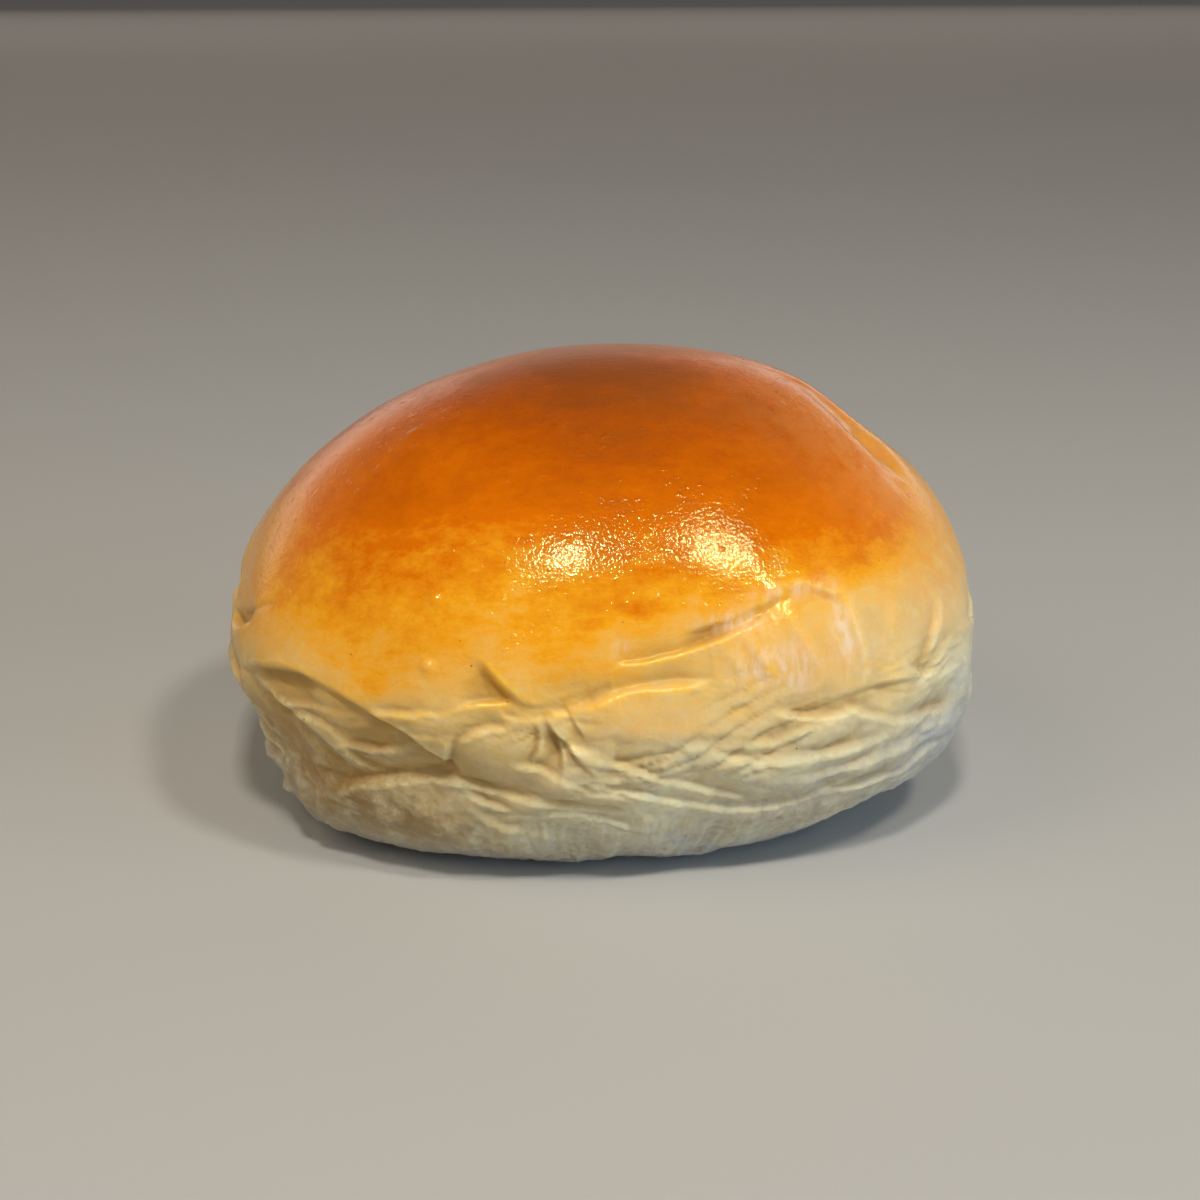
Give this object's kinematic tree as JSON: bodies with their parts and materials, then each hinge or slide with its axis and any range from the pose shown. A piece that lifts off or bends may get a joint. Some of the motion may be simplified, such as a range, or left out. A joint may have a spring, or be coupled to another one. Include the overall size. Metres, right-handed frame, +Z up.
{
  "type": "bread roll",
  "caption": "Soft oval bread roll with a smooth glazed brown crown and a pale wrinkled side on a small flat foot.",
  "frame": {"origin": "middle of the roll's bounding box, on the surface that the roll stands on", "axes": "+X along the roll's length, +Z up from the foot to the crown, -Y towards the side with the deepest folds"},
  "size_m": [0.1002, 0.087, 0.06],
  "materials": {
    "crust": "baked crust: glossy egg-washed brown on the crown, through golden yellow to matt cream on the side"
  },
  "bodies": {
    "root": {"bread_roll": "crust"}
  },
  "joints": []
}
